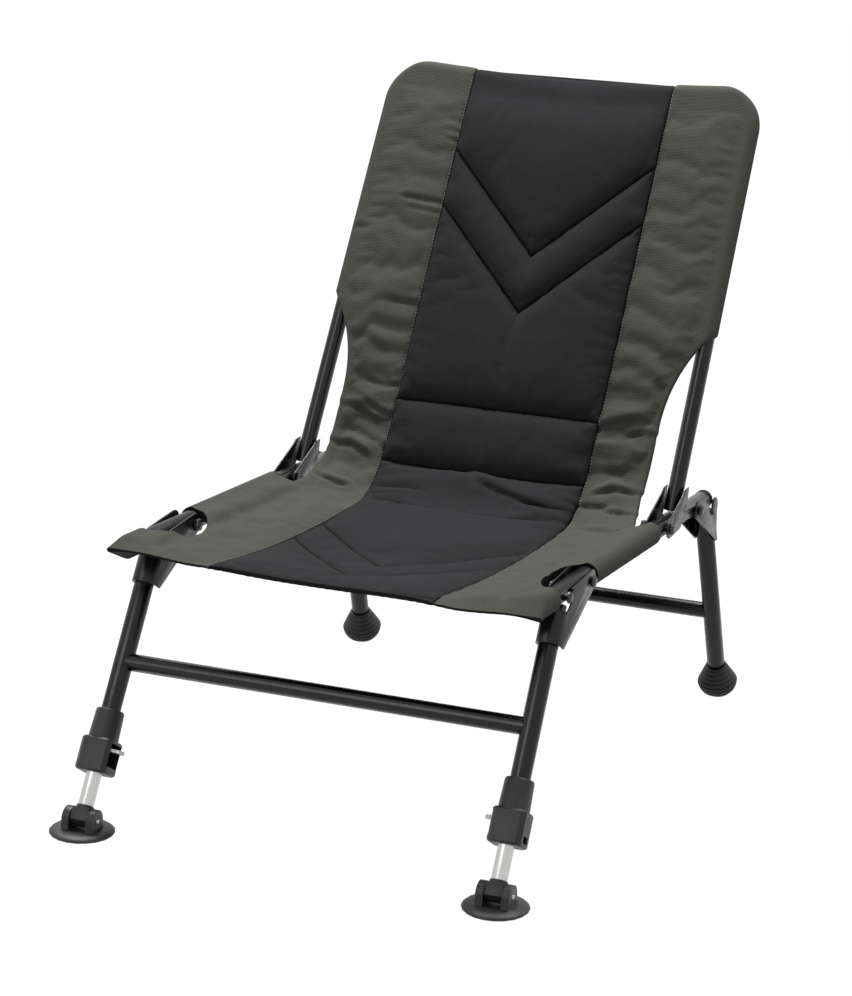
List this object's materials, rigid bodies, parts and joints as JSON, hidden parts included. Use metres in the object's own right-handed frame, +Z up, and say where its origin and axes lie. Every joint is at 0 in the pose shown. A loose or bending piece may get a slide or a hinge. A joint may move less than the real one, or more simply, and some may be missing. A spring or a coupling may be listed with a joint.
{
  "type": "folding chair",
  "caption": "Low folding bank-side chair: tubular frame, padded sling seat and back in one cover, telescopic front legs with tilting mud feet, and rear legs with ridged rubber feet.",
  "frame": {"origin": "on the floor, under the middle of the whole chair", "axes": "+Z up, the seat looks towards -Y, +X is the sitter's left hand"},
  "size_m": [0.5556, 0.8884, 0.7605],
  "materials": {
    "frame_paint": "gloss black powder coat",
    "hinge_plate": "satin black coat on pressed steel",
    "bolt_steel": "blackened steel",
    "moulded_plastic": "fine moulded grain",
    "black_rubber": "matt rubber",
    "inner_leg": "bright drawn tube",
    "zinc_steel": "zinc plated",
    "cover_fabric": "olive and charcoal ripstop polyester, padded and stitched"
  },
  "bodies": {
    "seat_frame": {"front_stop_bolt_left": "bolt_steel", "front_stop_bolt_right": "bolt_steel", "front_stop_nut_left": "bolt_steel", "front_stop_nut_right": "bolt_steel", "front_pivot_bolt_left": "bolt_steel", "front_pivot_bolt_right": "bolt_steel", "front_pivot_nut_left": "bolt_steel", "front_pivot_nut_right": "bolt_steel", "back_pivot_bolt_left": "bolt_steel", "back_pivot_bolt_right": "bolt_steel", "back_pivot_nut_left": "bolt_steel", "back_pivot_nut_right": "bolt_steel", "rear_pivot_bolt_left": "bolt_steel", "rear_pivot_bolt_right": "bolt_steel", "rear_pivot_nut_left": "bolt_steel", "rear_pivot_nut_right": "bolt_steel", "rail_left": "frame_paint", "rail_right": "frame_paint", "rail_end_cap_left": "black_rubber", "rail_end_cap_right": "black_rubber", "rail_front_plug_left": "black_rubber", "rail_front_plug_right": "black_rubber", "seat_cover": "cover_fabric"},
    "backrest": {"back_frame": "frame_paint", "back_cover": "cover_fabric", "waist_cover": "cover_fabric", "back_plate_outer_left": "hinge_plate", "back_plate_outer_right": "hinge_plate", "back_plate_inner_left": "hinge_plate", "back_plate_inner_right": "hinge_plate"},
    "front_legs": {"front_leg_left": "frame_paint", "front_leg_right": "frame_paint", "front_crossbar": "frame_paint", "front_bracket_left": "hinge_plate", "front_bracket_right": "hinge_plate", "leg_collar_left": "moulded_plastic", "leg_collar_right": "moulded_plastic", "lock_spring_left": "zinc_steel", "lock_spring_right": "zinc_steel"},
    "rear_legs": {"rear_leg_left": "frame_paint", "rear_leg_right": "frame_paint", "rear_crossbar": "frame_paint", "rear_bracket_left": "hinge_plate", "rear_bracket_right": "hinge_plate", "rubber_foot_left": "black_rubber", "rubber_foot_right": "black_rubber"},
    "lock_left": {"lock_plate_left": "zinc_steel"},
    "leg_extension_left": {"inner_leg_left": "inner_leg", "foot_knuckle_left": "moulded_plastic"},
    "foot_left": {"mud_foot_left": "moulded_plastic", "foot_pin_left": "zinc_steel"},
    "lock_right": {"lock_plate_right": "zinc_steel"},
    "leg_extension_right": {"inner_leg_right": "inner_leg", "foot_knuckle_right": "moulded_plastic"},
    "foot_right": {"mud_foot_right": "moulded_plastic", "foot_pin_right": "zinc_steel"}
  },
  "joints": [
    {"name": "back_fold", "type": "hinge", "parent": "seat_frame", "child": "backrest", "pos_m": [0, 0.10861, 0.283], "axis": [1, 0, 0], "range_deg": [0, 112], "deforming": ["waist_cover"]},
    {"name": "front_fold", "type": "hinge", "parent": "seat_frame", "child": "front_legs", "pos_m": [0, -0.17416, 0.29436], "axis": [1, 0, 0], "range_deg": [0, 90]},
    {"name": "rear_fold", "type": "hinge", "parent": "seat_frame", "child": "rear_legs", "pos_m": [0, 0.22451, 0.27835], "axis": [-1, 0, 0], "range_deg": [0, 107]},
    {"name": "leg_length_left", "type": "slide", "parent": "front_legs", "child": "leg_extension_left", "axis": [-0.0096, -0.5105, -0.8598], "range_m": [-0.03, 0.1]},
    {"name": "foot_tilt_left", "type": "hinge", "parent": "leg_extension_left", "child": "foot_left", "pos_m": [-0.24154, -0.40799, 0.01548], "axis": [1, 0, 0], "range_deg": [-30, 30]},
    {"name": "lock_tilt_left", "type": "hinge", "parent": "front_legs", "child": "lock_left", "pos_m": [-0.25329, -0.36785, 0.08307], "axis": [0, 0.8599, -0.5105], "range_deg": [0, 8], "stiffness_Nm_per_rad": 0.4, "springref_deg": -5.73, "deforming": ["lock_spring_left"]},
    {"name": "leg_length_right", "type": "slide", "parent": "front_legs", "child": "leg_extension_right", "axis": [0.0096, -0.5105, -0.8598], "range_m": [-0.03, 0.1]},
    {"name": "foot_tilt_right", "type": "hinge", "parent": "leg_extension_right", "child": "foot_right", "pos_m": [0.24154, -0.40799, 0.01548], "axis": [1, 0, 0], "range_deg": [-30, 30]},
    {"name": "lock_tilt_right", "type": "hinge", "parent": "front_legs", "child": "lock_right", "pos_m": [0.25329, -0.36785, 0.08307], "axis": [0, -0.8599, 0.5105], "range_deg": [0, 8], "stiffness_Nm_per_rad": 0.4, "springref_deg": -5.73, "deforming": ["lock_spring_right"]}
  ]
}
